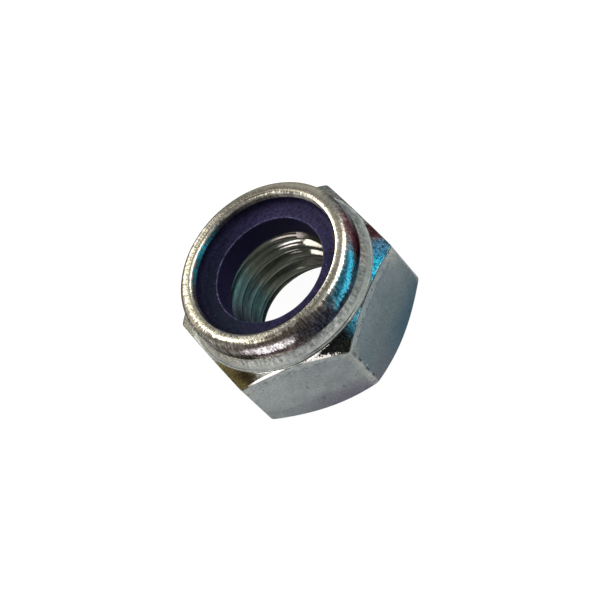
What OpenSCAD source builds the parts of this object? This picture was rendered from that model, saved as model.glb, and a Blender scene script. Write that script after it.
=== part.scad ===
// Hexagon lock nut with a nylon insert held by a rolled collar.
// Lengths are in millimetres. The nut stands on its bearing face at z = 0,
// the thread runs along Z, and the insert is at the top.

/* [Hexagon] */
// Width across the flats
across_flats = 19; // [18.5:0.5:24]
// Height of the hexagon, from the bearing face to the foot of the collar
hex_h = 8.2; // [7.4:0.1:8.6]
// How far the edge of the bearing face lies inside the flats
bearing_inset = 0.1; // [0.05:0.05:1]
// Slope of the lower corner chamfer
bearing_chamfer_angle = 38; // [15:1:45]
// Slope of the upper corner chamfer
top_chamfer_angle = 30; // [15:1:40]
// How much the six upright corners are trimmed back to a narrow round land
corner_trim = 0.08; // [0.02:0.02:0.4]

/* [Thread] */
// Nominal diameter of the thread
thread_d = 12; // [10:0.25:12.5]
// Pitch of the thread
thread_pitch = 1.75; // [1:0.25:1.75]
// How much wider than the thread the countersink in the bearing face is
mouth_flare = 0.9; // [0.2:0.1:2]
// How much wider than the thread the countersink below the insert is
lead_flare = 0.2; // [0.1:0.1:1]

/* [Collar] */
// Height of the whole nut, from the bearing face to the top of the roll
nut_h = 12; // [11.6:0.1:14]
// How far the foot of the collar lies inside the flats
foot_inset = 0.1; // [0.05:0.05:0.8]
// Width of the narrow ledge around the foot of the collar
foot_ledge = 0.12; // [0.05:0.01:0.4]
// Height of the narrow ledge around the foot of the collar
foot_h = 0.15; // [0.05:0.05:0.5]
// Height of the plain band above the ledge
band_h = 1.25; // [0.8:0.05:1.5]
// How far the band leans in over its height
band_lean = 0.5; // [0.1:0.05:0.8]
// Thickness of the collar's wall beside the insert
wall_t = 0.85; // [0.6:0.05:1.2]
// Radius of the outer bend of the roll
roll_r = 0.9; // [0.5:0.05:1.2]
// Thickness of the roll over the shoulder of the insert
roll_t = 1.1; // [0.85:0.05:1.3]
// How far the lip reaches in past the wall of the pocket
lip_reach = 0.7; // [0.4:0.05:1]
// Radius of the inner bend of the lip
lip_r = 0.45; // [0.2:0.05:0.6]
// Height of the lip's straight inner edge
lip_edge = 0.3; // [0.1:0.05:0.5]

/* [Insert] */
// Depth of the insert's seat below the foot of the collar
seat_depth = 0.43; // [0.1:0.05:1.2]
// How far the hole of the insert lies inside the crests of a bolt
insert_bite = 0.55; // [0.2:0.05:0.8]
// Depth of the insert's flat face below the edge of the lip
dish_depth = 0.76; // [0.3:0.05:1]
// Width of the small chamfer around the hole of the insert
insert_edge = 0.08; // [0.02:0.02:0.3]
// Gap between the insert and the collar around it
insert_gap = 0.02; // [0.01:0.01:0.05]

/* [Hidden] */
$fn = 96;

// Ratio of thread depth to pitch in a metric thread
DEPTH_PER_PITCH = 1.0825;
// Overlap that keeps cuts clear of the faces they open
CUT = 1;

// Radii of the hexagon
flat_r = across_flats / 2;
corner_r = flat_r / cos(30);
bearing_r = flat_r - bearing_inset;

// Radii of the thread and of its two countersinks
bore_r = (thread_d - DEPTH_PER_PITCH * thread_pitch) / 2;
mouth_r = (thread_d + mouth_flare) / 2;
lead_r = (thread_d + lead_flare) / 2;

// Radii of the collar, from the outside in
foot_r = flat_r - foot_inset;
band_r = foot_r - foot_ledge;
side_r = band_r - band_lean;
pocket_r = side_r - wall_t;
lip_hole_r = pocket_r - lip_reach;

// Levels of the collar
ledge_z = hex_h + foot_h;
band_z = ledge_z + band_h;
roll_z = nut_h - roll_r;
shoulder_z = nut_h - roll_t;
lip_z = nut_h - lip_r;
lip_edge_z = lip_z - lip_edge;
seat_z = hex_h - seat_depth;

// Outline of the insert
insert_r = pocket_r - insert_gap;
insert_hole_r = thread_d / 2 - insert_bite;
insert_rim_z = lip_edge_z - insert_gap;
insert_face_z = lip_edge_z - dish_depth;
dish_r = insert_rim_z - insert_face_z;

STEEL = [0.62, 0.64, 0.62];
NYLON = [0.17, 0.15, 0.29];

// Region that a cone chamfer leaves of the hexagon, as half a section
module chamfer_limits() {
    reach = corner_r + CUT;
    lower_rise = (reach - bearing_r) * tan(bearing_chamfer_angle);
    upper_fall = (reach - foot_r) * tan(top_chamfer_angle);
    polygon([
        [0, 0],
        [bearing_r, 0],
        [reach, lower_rise],
        [reach, hex_h - upper_fall],
        [foot_r, hex_h],
        [0, hex_h]
    ]);
}

// Hexagon with both corner chamfers and a narrow round land on each corner
module hexagon_block() {
    intersection() {
        rotate([0, 0, 30])
            cylinder(h = hex_h, r = corner_r, $fn = 6);
        cylinder(h = hex_h, r = corner_r - corner_trim);
        rotate_extrude()
            chamfer_limits();
    }
}

// Half a section of the solid collar: ledge, leaning band, side and outer bend
module collar_outline() {
    // The foot goes down into the hexagon, so that the two are one solid
    translate([0, seat_z])
        square([foot_r, ledge_z - seat_z]);
    polygon([
        [0, ledge_z],
        [band_r, ledge_z],
        [side_r, band_z],
        [0, band_z]
    ]);
    translate([0, band_z])
        square([side_r, roll_z - band_z]);
    translate([side_r - roll_r, roll_z])
        intersection() {
            circle(r = roll_r);
            square([roll_r, roll_r]);
        }
    translate([0, roll_z])
        square([side_r - roll_r, nut_h - roll_z]);
}

// Half a section of what the collar and the hexagon leave open
module opening_outline() {
    // Bore of the thread
    translate([0, -CUT])
        square([bore_r, nut_h + 2 * CUT]);
    // Countersink in the bearing face
    polygon([
        [0, -CUT],
        [mouth_r + CUT, -CUT],
        [bore_r, mouth_r - bore_r],
        [0, mouth_r - bore_r]
    ]);
    // Countersink below the insert
    polygon([
        [0, seat_z - (lead_r - bore_r)],
        [bore_r, seat_z - (lead_r - bore_r)],
        [lead_r, seat_z],
        [0, seat_z]
    ]);
    // Pocket of the insert, closed in at the top by the underside of the lip
    polygon([
        [0, seat_z],
        [pocket_r, seat_z],
        [pocket_r, shoulder_z],
        [lip_hole_r, lip_edge_z],
        [0, lip_edge_z]
    ]);
    // Hole that the lip leaves, with its rounded rim
    translate([0, lip_edge_z])
        square([lip_hole_r, nut_h + CUT - lip_edge_z]);
    difference() {
        translate([0, lip_z])
            square([lip_hole_r + lip_r, lip_r + CUT]);
        translate([lip_hole_r + lip_r, lip_z])
            circle(r = lip_r);
    }
}

// Steel body: hexagon, threaded bore, pocket and the collar rolled over the insert
module nut_body() {
    color(STEEL)
        difference() {
            union() {
                hexagon_block();
                rotate_extrude()
                    collar_outline();
            }
            rotate_extrude()
                opening_outline();
        }
}

// Half a section of the insert: a ring with a shoulder under the lip,
// a rim that the lip has squeezed up, and a flat face around the hole
module insert_outline() {
    difference() {
        polygon([
            [insert_hole_r, seat_z],
            [insert_r, seat_z],
            [insert_r, shoulder_z - insert_gap],
            [lip_hole_r, insert_rim_z],
            [lip_hole_r - dish_r, insert_rim_z],
            [lip_hole_r - dish_r, insert_face_z],
            [insert_hole_r + insert_edge, insert_face_z],
            [insert_hole_r, insert_face_z - insert_edge]
        ]);
        translate([lip_hole_r - dish_r, insert_rim_z])
            circle(r = dish_r);
    }
}

// Nylon ring that grips the bolt
module nylon_insert() {
    color(NYLON)
        rotate_extrude()
            insert_outline();
}

nut_body();
nylon_insert();
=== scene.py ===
# %% [markdown]
# # A nylon insert lock nut, built as two meshes around its CAD solids
#
# A lock nut of this kind is two things: a plated steel body and a nylon ring that a rolled
# collar holds in place. The CAD model already has both at their real size, so Blender's work
# is what CAD leaves out: the turns of the thread, the softened edges, the small unevenness
# that rolling leaves, and the finish of every surface. This lesson goes through it in order:
# the view, the light, the steel body, the ring, and then one finish after the other.

import math
import random

import bpy
import bmesh
import numpy as np
from mathutils import Matrix, Vector


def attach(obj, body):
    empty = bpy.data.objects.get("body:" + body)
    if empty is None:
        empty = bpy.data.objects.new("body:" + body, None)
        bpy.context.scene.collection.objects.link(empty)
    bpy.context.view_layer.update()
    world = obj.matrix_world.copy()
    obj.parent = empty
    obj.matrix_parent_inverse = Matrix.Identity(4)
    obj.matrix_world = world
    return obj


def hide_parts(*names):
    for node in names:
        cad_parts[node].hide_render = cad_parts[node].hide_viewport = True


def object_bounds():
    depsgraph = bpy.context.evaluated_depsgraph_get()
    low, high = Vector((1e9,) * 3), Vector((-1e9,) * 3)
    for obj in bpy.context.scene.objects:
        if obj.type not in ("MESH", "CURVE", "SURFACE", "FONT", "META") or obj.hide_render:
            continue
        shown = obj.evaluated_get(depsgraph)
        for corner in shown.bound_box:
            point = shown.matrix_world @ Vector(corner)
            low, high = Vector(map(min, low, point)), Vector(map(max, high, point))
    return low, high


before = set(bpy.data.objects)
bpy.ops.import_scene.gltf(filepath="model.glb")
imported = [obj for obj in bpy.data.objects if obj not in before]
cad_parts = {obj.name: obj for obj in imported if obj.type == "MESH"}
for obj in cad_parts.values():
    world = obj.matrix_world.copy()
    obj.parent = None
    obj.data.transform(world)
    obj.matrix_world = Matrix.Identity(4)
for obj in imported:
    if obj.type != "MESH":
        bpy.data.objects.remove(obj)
CAD_BOX = [list(corner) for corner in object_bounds()]
MM = 0.001
print("CAD nodes:", sorted(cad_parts))
print("CAD box in mm:", [[round(v / MM, 3) for v in corner] for corner in CAD_BOX])

# %% [markdown]
# ## The camera
#
# The photograph was taken by hand, from about fifty degrees above the table, with the camera
# turned on its side, so the nut seems to stand on a slope. The nut itself stands upright here,
# and the camera takes the turn instead. Its place could be found by trial; here it was solved
# from the outlines of the nut's rings and flats, and is written as a place and three directions.

# %% Camera
CAMERA_PLACE = Vector((-0.453, -122.038, 146.501)) * MM
CAMERA_RIGHT = Vector((0.71943, -0.52834, -0.45086))
CAMERA_UP = Vector((0.69456, 0.54448, 0.47024))
CAMERA_AHEAD = Vector((0.00297, 0.65146, -0.75868))

view = bpy.data.cameras.new("photo_camera")
view.sensor_width = 36
view.lens = 120
view.clip_start = 0.005
camera = bpy.data.objects.new("photo_camera", view)
axes = Matrix((CAMERA_RIGHT, CAMERA_UP, -CAMERA_AHEAD)).transposed()
camera.matrix_world = Matrix.Translation(CAMERA_PLACE) @ axes.to_4x4()
bpy.context.scene.collection.objects.link(camera)
bpy.context.scene.camera = camera
bpy.context.scene.view_settings.view_transform = "Standard"
print("camera stands", round(CAMERA_PLACE.length / MM), "mm from the nut")

# %% [markdown]
# ## Small helpers for shader nodes
#
# A shader tree can be built by hand in the editor or in code. In code it helps to say, in one
# call, which node is added, how it is set and what feeds each of its sockets, and to write a
# calculation as one line.

# %% Node helpers
def add(tree, kind, feeds=None, **settings):
    """Adds a node. A value in feeds may be a number, a colour or another node's output."""
    made = tree.nodes.new("ShaderNode" + kind)
    for name, value in settings.items():
        setattr(made, name, value)
    for socket, value in (feeds or {}).items():
        if isinstance(value, bpy.types.NodeSocket):
            tree.links.new(value, made.inputs[socket])
        else:
            made.inputs[socket].default_value = value
    return made


def calc(tree, operation, *terms):
    """One step of arithmetic, such as ADD or SINE."""
    return add(tree, "Math", dict(enumerate(terms)), operation=operation).outputs[0]


def times(tree, value, factor):
    return calc(tree, "MULTIPLY", value, factor)


def ramp(tree, value, start, end, low=0.0, high=1.0):
    """A smooth step of value, from low at start to high at end."""
    feeds = {"Value": value, "From Min": start, "From Max": end, "To Min": low, "To Max": high}
    return add(tree, "MapRange", feeds, interpolation_type="SMOOTHSTEP").outputs["Result"]


def blend(tree, mask, below, above):
    """Colour above over colour below, as far as the mask says."""
    mixer = add(tree, "Mix", {0: mask, 6: below, 7: above}, data_type="RGBA")
    return mixer.outputs[2]


def tone(code):
    """The linear colour of a six-digit screen colour."""
    parts = [int(code[i:i + 2], 16) / 255 for i in (0, 2, 4)]
    linear = [p / 12.92 if p <= 0.04045 else ((p + 0.055) / 1.055) ** 2.4 for p in parts]
    return tuple(linear) + (1.0,)


def new_material(name):
    material = bpy.data.materials.new(name)
    material.use_nodes = True
    material.node_tree.nodes.clear()
    return material, material.node_tree


def finish_material(tree, shader):
    output = add(tree, "OutputMaterial")
    tree.links.new(shader.outputs[0], output.inputs["Surface"])


def report(title, tree):
    print(title, "has", len(tree.nodes), "nodes")


print("a mid grey on the screen is", round(tone("808080")[0], 3), "in linear light")

# %% [markdown]
# ## The floor and the surroundings
#
# The photograph shows the nut cut out on pure white. A white floor could be had by flooding it
# with light, but that would wash out the nut. So the floor gives the camera a white of its own
# and only a little of it is lit, which keeps a faint, soft shadow. Metal shows what stands
# around it, so reflections see the same white floor and the same pale room.

# %% Floor and world
def white_for_view(tree):
    """One where a ray comes from the camera, a reflection or glass, else zero."""
    path = add(tree, "LightPath")
    seen = calc(tree, "MAXIMUM", path.outputs["Is Camera Ray"], path.outputs["Is Glossy Ray"])
    return calc(tree, "MAXIMUM", seen, path.outputs["Is Transmission Ray"])


FLOOR_HALF = 1.2
FLOOR_Z = -0.02 * MM
FLOOR_GREY = (0.1, 0.1, 0.1, 1)
WHITE = (1, 1, 1, 1)
FLOOR_GLOW, ROOM_LIGHT, ROOM_SEEN = 0.96, 0.3, 1.0

floor_mesh = bpy.data.meshes.new("floor")
corners = [(x * FLOOR_HALF, y * FLOOR_HALF, FLOOR_Z)
           for x, y in ((-1, -1), (1, -1), (1, 1), (-1, 1))]
floor_mesh.from_pydata(corners, [], [(0, 1, 2, 3)])
floor = bpy.data.objects.new("floor", floor_mesh)
bpy.context.scene.collection.objects.link(floor)

material, tree = new_material("white_floor")
lit = add(tree, "BsdfDiffuse", {"Color": FLOOR_GREY})
seen = times(tree, white_for_view(tree), FLOOR_GLOW)
glow = add(tree, "Emission", {"Color": WHITE, "Strength": seen})
finish_material(tree, add(tree, "AddShader", {0: lit.outputs[0], 1: glow.outputs[0]}))
floor_mesh.materials.append(material)

world = bpy.data.worlds.new("pale_room")
bpy.context.scene.world = world
world.use_nodes = True
tree = world.node_tree
tree.nodes.clear()
level = ramp(tree, white_for_view(tree), 0, 1, ROOM_LIGHT, ROOM_SEEN)
sky = add(tree, "Background", {"Color": WHITE, "Strength": level})
tree.links.new(sky.outputs[0], add(tree, "OutputWorld").inputs["Surface"])
print("floor is", 2 * FLOOR_HALF, "m wide")

# %% [markdown]
# ## The lamps
#
# Polished metal is lit by what it mirrors. The bright lines that run along the roll are wide
# soft lamps seen in it, with painted highlights laid along them in the roll's colour: high
# lamps on the right, on the left and on the far side, and a low one below the last with a dim
# gap between. Small lamps would give hard dots, so each is a panel.

# %% Lamps
LAMP_DISTANCE = 0.3
NUT_MIDDLE = Vector((0, 0, 6 * MM))
WARM_WHITE = (1.0, 0.98, 0.93)


def lamp(name, azimuth, elevation, width, height, radiance):
    """A soft panel that looks at the nut from a direction given in degrees."""
    light = bpy.data.lights.new(name, "AREA")
    light.shape = "RECTANGLE"
    light.size, light.size_y = width, height
    light.energy = radiance * math.pi * width * height
    light.color = WARM_WHITE
    a, e = math.radians(azimuth), math.radians(elevation)
    direction = Vector((math.cos(e) * math.cos(a), math.cos(e) * math.sin(a), math.sin(e)))
    panel = bpy.data.objects.new(name, light)
    panel.location = direction * LAMP_DISTANCE + NUT_MIDDLE
    panel.rotation_euler = direction.to_track_quat("Z", "Y").to_euler()
    bpy.context.scene.collection.objects.link(panel)


lamp("lamp_right", -12, 50, 0.30, 0.15, 6.0)
lamp("lamp_far_high", 124, 53, 0.20, 0.075, 5.0)
lamp("lamp_left", -168, 52, 0.11, 0.085, 5.6)
lamp("lamp_far_low", 116, 20, 0.24, 0.21, 5.0)

# %% [markdown]
# ## The nut's measures
#
# The mesh repeats the solid, so both have to use the same sizes. The two overall ones are read
# from the frame. The others are the CAD model's driving dimensions in millimetres, and the
# radii and heights of the outline follow from them in the same way as there. Only the upright
# corners differ: the solid has a narrow land on each, and here an arc takes off as much.

# %% Driving dimensions
FLAT_R = round(CAD_BOX[1][0] / MM, 2)
NUT_H = round(CAD_BOX[1][2] / MM, 2)
HEX_H = 8.2
BEARING_INSET, FOOT_INSET, CORNER_ROUND = 0.1, 0.1, 0.53
LEDGE_W, LEDGE_H = 0.12, 0.15
BAND_H, BAND_LEAN = 1.25, 0.5
WALL_T, ROLL_T, ROLL_R = 0.85, 1.1, 0.9
LIP_REACH, LIP_R, LIP_EDGE = 0.7, 0.45, 0.3
SEAT_DEPTH = 0.43
THREAD_R, PITCH, DEPTH_PER_PITCH = 6.0, 1.75, 1.0825
MOUTH_FLARE, LEAD_FLARE = 0.9, 0.2
FLAT_TO_CORNER = math.radians(30)
LOWER_SLOPE, UPPER_SLOPE = math.tan(math.radians(38)), math.tan(math.radians(30))
print("from the frame:", FLAT_R, "mm to a flat and", NUT_H, "mm high")

# %% Radii and heights of the outline
CORNER_R = FLAT_R / math.cos(FLAT_TO_CORNER)
BEARING_R, FOOT_R = FLAT_R - BEARING_INSET, FLAT_R - FOOT_INSET
BAND_R = FOOT_R - LEDGE_W
SIDE_R = BAND_R - BAND_LEAN
POCKET_R = SIDE_R - WALL_T
LIP_HOLE_R = POCKET_R - LIP_REACH
BORE_R = THREAD_R - DEPTH_PER_PITCH * PITCH / 2
MOUTH_R, LEAD_R = THREAD_R + MOUTH_FLARE / 2, THREAD_R + LEAD_FLARE / 2
LEDGE_Z = HEX_H + LEDGE_H
BAND_Z = LEDGE_Z + BAND_H
ROLL_Z, SHOULDER_Z, LIP_Z = NUT_H - ROLL_R, NUT_H - ROLL_T, NUT_H - LIP_R
LIP_EDGE_Z = LIP_Z - LIP_EDGE
SEAT_Z = HEX_H - SEAT_DEPTH
print("across flats", 2 * FLAT_R, "mm, across corners", round(2 * CORNER_R, 2), "mm")

# %% [markdown]
# ## Columns around the nut
#
# The steel body is one lathe-like mesh: the same row of points is repeated in columns around
# the axis. A hexagon isn't round, so in each column the points move out to the flat or the
# corner. Columns stand closer together at the six corners, where the outline turns.

# %% Columns
FLAT_STEPS = 28
CORNER_STEPS = [27.7, 28.2, 28.6, 28.95, 29.3, 29.65]
half_sector = [float(i) for i in range(FLAT_STEPS)] + CORNER_STEPS
sector = sorted({-a for a in half_sector} | set(half_sector)) + [30.0]
COLUMNS = [60 * k + a for k in range(6) for a in sector]
COLUMNS = np.array(sorted(a % 360 for a in COLUMNS))
ROUND_CENTRE = CORNER_R - CORNER_ROUND / math.cos(FLAT_TO_CORNER)
ROUND_START = math.degrees(math.atan2((FLAT_R - CORNER_ROUND) * math.tan(FLAT_TO_CORNER), FLAT_R))


def off_middle(azimuth):
    """Degrees between a column and the middle of the nearest flat."""
    return abs((azimuth + 30) % 60 - 30)


def hexagon_radius(azimuth):
    """Distance from the axis to the outside of the hexagon, its corners slightly rounded."""
    off = off_middle(azimuth)
    if off <= ROUND_START:
        return FLAT_R / math.cos(math.radians(off))
    turn = FLAT_TO_CORNER - math.radians(off)
    aside = ROUND_CENTRE * math.sin(turn)
    return ROUND_CENTRE * math.cos(turn) + math.sqrt(CORNER_ROUND ** 2 - aside ** 2)


print(len(COLUMNS), "columns, hexagon radius", round(hexagon_radius(0), 3), "to",
      round(hexagon_radius(30), 3), "mm")

# %% [markdown]
# ## The outline of one column
#
# One column is a closed outline of the wall, cut from the axis outwards. Real edges are never
# knife sharp: tumbling and plating round them by a tenth of a millimetre. A bevel modifier
# could do it, but here each corner of the outline is replaced by a short arc, because then the
# number of points stays the same in every column and the columns can be joined into faces.

# %% Outline helpers
EDGE_STEPS = 4
LARGEST_SHARE = 0.45


def rounded(points, radii):
    """Replaces each inner corner of a line by an arc. Each point is (radius, height), and an
    arc takes at most a share of the shorter side beside it."""
    line = [points[0]]
    for i in range(1, len(points) - 1):
        before, here, after = (np.array(p, float) for p in points[i - 1:i + 2])
        back, on = before - here, after - here
        room = LARGEST_SHARE * min(np.linalg.norm(back), np.linalg.norm(on))
        back, on = back / np.linalg.norm(back), on / np.linalg.norm(on)
        bend = math.acos(max(-1.0, min(1.0, float(-back @ on))))
        reach = min(room, radii[i] * math.tan(bend / 2))
        start, end = here + back * reach, here + on * reach
        for k in range(EDGE_STEPS + 1):
            t = k / EDGE_STEPS
            line.append(tuple((1 - t) ** 2 * start + 2 * t * (1 - t) * here + t * t * end))
    line.append(points[-1])
    return line


def arc(centre_r, centre_z, radius, start, end, steps):
    """Points on an arc. Start and end are in degrees."""
    turns = np.radians(np.linspace(start, end, steps + 1))
    return [(centre_r + radius * math.cos(t), centre_z + radius * math.sin(t)) for t in turns]


def between(p, q, steps):
    """Points from p to q, both ends left out."""
    return [(p[0] + (q[0] - p[0]) * i / steps, p[1] + (q[1] - p[1]) * i / steps)
            for i in range(1, steps)]


print("a right angle gets", len(rounded([(0, 0), (1, 0), (1, 1)], [0, 0.1, 0])) - 2, "points")

# %% [markdown]
# ### What the tools left uneven
#
# A rolled collar is never perfectly even. A sum of a few waves, each with a whole number of
# periods in a turn, closes on itself, and a fixed seed keeps it the same in every run. It could
# be a displacement texture, but in the outline it moves whole borders along with it.

# %% Unevenness
def ripple(seed, waves, size):
    """A smooth unevenness around the ring, the same at the start and the end of a turn."""
    draw = random.Random(seed)
    parts = [(n, draw.uniform(0, 2 * math.pi), draw.uniform(0.4, 1.0) / n ** 0.5) for n in waves]
    total = sum(p[2] for p in parts)
    return lambda azimuth: size * sum(
        a * math.sin(n * math.radians(azimuth) + phase) for n, phase, a in parts) / total


roll_dent = ripple(3, (5, 8, 13, 19, 31, 47), 0.016)
border_shift = ripple(7, (2, 5, 9, 14, 23), 0.12)
lip_shift = ripple(11, (3, 7, 12, 26), 0.03)
print("roll is uneven by up to", round(max(abs(roll_dent(a)) for a in range(360)), 3), "mm")

# %% [markdown]
# ## From the bearing face to the seat of the insert
#
# The hexagon was forged and its corners were turned off with a cone at both ends, which leaves
# the curved upper and lower edges of the flats. Above it stands the collar: a narrow ledge, a
# plain leaning band, and the wall that was rolled over the nylon ring. The outline goes on
# down inside, behind the ring, so that the steel is closed and has its real thickness.

# %% One column
ZONES = ["bearing", "hexagon", "chamfer", "band", "roll", "bore"]
ARC_POINTS = EDGE_STEPS + 1
# Rounding of each corner along the three parts of the outline
LOWER_EDGES = [0, 0.2, 0.1, 0]
UPPER_EDGES = [0, 0.12, 0.03, 0.05, 0.04, 0.35, 0]
INNER_EDGES = [0, 0.06, 0.05, 0.05, 0]
# Share of a dent that pushes the lip outwards, and share that pulls the top down
LIP_SHARE, TOP_SHARE = 0.3, 0.6


def dented(rows, border, dent):
    """Presses the roll in by a dent that grows from its border to its top."""
    shaped = []
    for zone, r, z in rows:
        if zone == "roll" and z > border:
            swell = math.sin(math.pi * min(1.0, (z - border) / (NUT_H - border)) * 0.5)
            r -= max(dent, 0.0) * swell * (1 if r > LIP_HOLE_R + LIP_R else -LIP_SHARE)
            z -= abs(dent) * TOP_SHARE * swell
        shaped.append((zone, r, z))
    return shaped


def wall_outline(azimuth):
    """The outline from the mouth of the bore, over the outside, to the seat of the insert."""
    out = hexagon_radius(azimuth)
    low, high = (out - BEARING_R) * LOWER_SLOPE, HEX_H - (out - FOOT_R) * UPPER_SLOPE
    middle, side_end = (out, (low + high) / 2), (SIDE_R, ROLL_Z)
    border = BAND_Z + border_shift(azimuth)
    lip = LIP_EDGE_Z + lip_shift(azimuth)
    rows = []

    def put(zone, points):
        rows.extend((zone, r, z) for r, z in points)

    lower = rounded([(MOUTH_R, 0), (BEARING_R, 0), (out, low), middle], LOWER_EDGES)
    put("bearing", [lower[0]] + between(lower[0], lower[1], 5) + lower[1:-1])
    upper = rounded([middle, (out, high), (FOOT_R, HEX_H), (FOOT_R, LEDGE_Z), (BAND_R, LEDGE_Z),
                     (SIDE_R, border), side_end], UPPER_EDGES)
    put("hexagon", between(lower[-2], upper[1], 9))
    arcs = [upper[1 + k * ARC_POINTS:1 + (k + 1) * ARC_POINTS] for k in range(5)]
    put("chamfer", arcs[0] + between(arcs[0][-1], arcs[1][0], 6))
    put("band", arcs[1] + arcs[2] + arcs[3] + between(arcs[3][-1], arcs[4][0], 8))
    put("roll", arcs[4] + between(arcs[4][-1], side_end, 6))
    put("roll", arc(SIDE_R - ROLL_R, ROLL_Z, ROLL_R, 0, 90, 16))
    put("roll", arc(LIP_HOLE_R + LIP_R, LIP_Z, LIP_R, 90, 180, 10))
    inner = rounded([(LIP_HOLE_R, LIP_Z), (LIP_HOLE_R, lip), (POCKET_R, SHOULDER_Z),
                     (POCKET_R, SEAT_Z), (LEAD_R, SEAT_Z)], INNER_EDGES)
    put("roll", inner[1:1 + ARC_POINTS])
    put("bore", inner[1 + ARC_POINTS:])
    return dented(rows, border, roll_dent(azimuth))


column = wall_outline(0)
print(len(column), "points in a column, from", column[0][0], "to", column[-1][0])

# %% [markdown]
# ## The turns of the thread
#
# A thread could be a screw modifier or a groove cut with a boolean, and both leave messy ends
# where it runs out. Here the bore's rows climb with the angle, one pitch in a full turn, so
# that every crest and root is a clean line of edges. A row is named by its part of the pitch,
# from the middle of the root. The root is an eighth of the pitch wide and the crest a quarter.
# Rows that would pass the ends of the bore are held at them and merged there. The countersinks
# at both ends cut the turns off at a slant, as on the real nut.

# %% Thread
ROOT_PART, CREST_PART, EASE = 0.0625, 0.375, 0.02
FLANK_PART, CREST_STEP = 0.22, 0.012
# Height of a root at angle zero, and enough turns to pass the seat
THREAD_START, THREAD_TURNS = 0.9, 6


def flank(part):
    """Radius of the straight flank between the root's corner and the crest's corner."""
    climbed = (part - ROOT_PART) / (CREST_PART - ROOT_PART)
    return THREAD_R - climbed * (THREAD_R - BORE_R)


rising = [(ROOT_PART - EASE, THREAD_R), (ROOT_PART + EASE, flank(ROOT_PART + EASE)),
          (FLANK_PART, flank(FLANK_PART)), (CREST_PART - EASE, flank(CREST_PART - EASE)),
          (CREST_PART, BORE_R + CREST_STEP), (CREST_PART + EASE, BORE_R)]
falling = [(1 - part, r) for part, r in reversed(rising)]
TURN_STEPS = [(0.0, THREAD_R)] + rising + [(0.5, BORE_R)] + falling
STEPS = len(TURN_STEPS)
THREAD_ROWS = THREAD_TURNS * STEPS


def thread_point(row, azimuth):
    """Place of a row of the thread in one column, held between the bore's two ends."""
    turn, step = divmod(row, STEPS)
    part, r = TURN_STEPS[step]
    z = THREAD_START + PITCH * (turn + part + azimuth / 360 - 1)
    z = min(max(z, 0.0), SEAT_Z)
    lead = BORE_R + (z - (SEAT_Z - (LEAD_R - BORE_R)))
    mouth = BORE_R + ((MOUTH_R - BORE_R) - z)
    return max(r, lead, mouth), z


print("thread has", round(SEAT_Z / PITCH, 1), "turns between the seat and the bearing face")

# %% [markdown]
# ## What each point remembers
#
# Each point keeps two measures with it, which the finishes need later: how far along the
# outline it lies, and how far it is from the nearest edge that wears. The upright corners are
# rubbed over a narrower strip than the edges above them, so their distance counts for more.

# %% Measures of a column
CORNER_WEIGHT = 4.0


def measures_of(azimuth, column):
    """For each point: millimetres along the collar's outline, and distance to a worn edge."""
    steps = np.diff([point[1:] for point in column], axis=0)
    walked = np.concatenate([[0], np.cumsum(np.linalg.norm(steps, axis=1))])
    names = [point[0] for point in column]
    first = {zone: walked[names.index(zone)] for zone in ZONES}
    edge_strip = {"bearing": first["hexagon"], "hexagon": first["chamfer"],
            "chamfer": first["chamfer"], "band": first["band"] + LEDGE_H,
            "roll": first["bore"], "bore": first["bore"]}
    start = walked[names.index("roll") + EDGE_STEPS // 2]
    to_corner = FLAT_R * (math.tan(FLAT_TO_CORNER) - math.tan(math.radians(off_middle(azimuth))))
    kept = []
    for zone, s in zip(names, walked):
        gap = abs(s - edge_strip[zone])
        if zone == "hexagon":
            gap = min(gap, to_corner * CORNER_WEIGHT)
        kept.append((s - start, gap))
    return kept


outer = max(along for along, gap in measures_of(0, column))
print("the outline goes on for", round(outer, 1), "mm past the border of the band")

# %% [markdown]
# ## Points and faces
#
# Both pieces are turned from outlines, so they share three steps: a point is placed at its
# angle, the mesh keeps its measures as attributes, and at the end all faces are turned outwards
# and shaded smooth. A closed mesh has two faces at every edge, so the open ones are counted.

# %% Mesh helpers
MERGE_GAP = 0.0002 * MM


def on_nut(azimuth, r, z):
    """The place, in metres, of a point at an angle, a distance from the axis and a height."""
    a = math.radians(azimuth)
    return r * math.cos(a) * MM, r * math.sin(a) * MM, z * MM


def turned_mesh(name, places, faces, **measures):
    mesh = bpy.data.meshes.new(name)
    mesh.from_pydata(places, [], faces)
    for title, values in measures.items():
        mesh.attributes.new(title, "FLOAT", "POINT").data.foreach_set("value", values)
    return mesh


def closed_object(mesh, merge):
    """Makes an object of a mesh, after merging points that lie on each other if asked."""
    shaped = bmesh.new()
    shaped.from_mesh(mesh)
    if merge:
        bmesh.ops.remove_doubles(shaped, verts=shaped.verts, dist=MERGE_GAP)
        bmesh.ops.dissolve_degenerate(shaped, edges=shaped.edges, dist=MERGE_GAP)
    bmesh.ops.recalc_face_normals(shaped, faces=shaped.faces)
    loose = sum(1 for e in shaped.edges if len(e.link_faces) != 2)
    print(mesh.name, "has", len(shaped.faces), "faces,", loose, "open edges and",
          round(shaped.calc_volume() / MM ** 3), "mm3")
    shaped.to_mesh(mesh)
    shaped.free()
    mesh.shade_smooth()
    made = bpy.data.objects.new(mesh.name, mesh)
    bpy.context.scene.collection.objects.link(made)
    return made


# %% [markdown]
# ## The steel body
#
# Each column is the outline of the wall followed by the rows of the thread. Neighbouring
# columns are joined row by row. Only where the last column meets the first does the thread's
# side shift by one full turn of rows, because a helix ends one pitch higher than it began.

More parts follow.
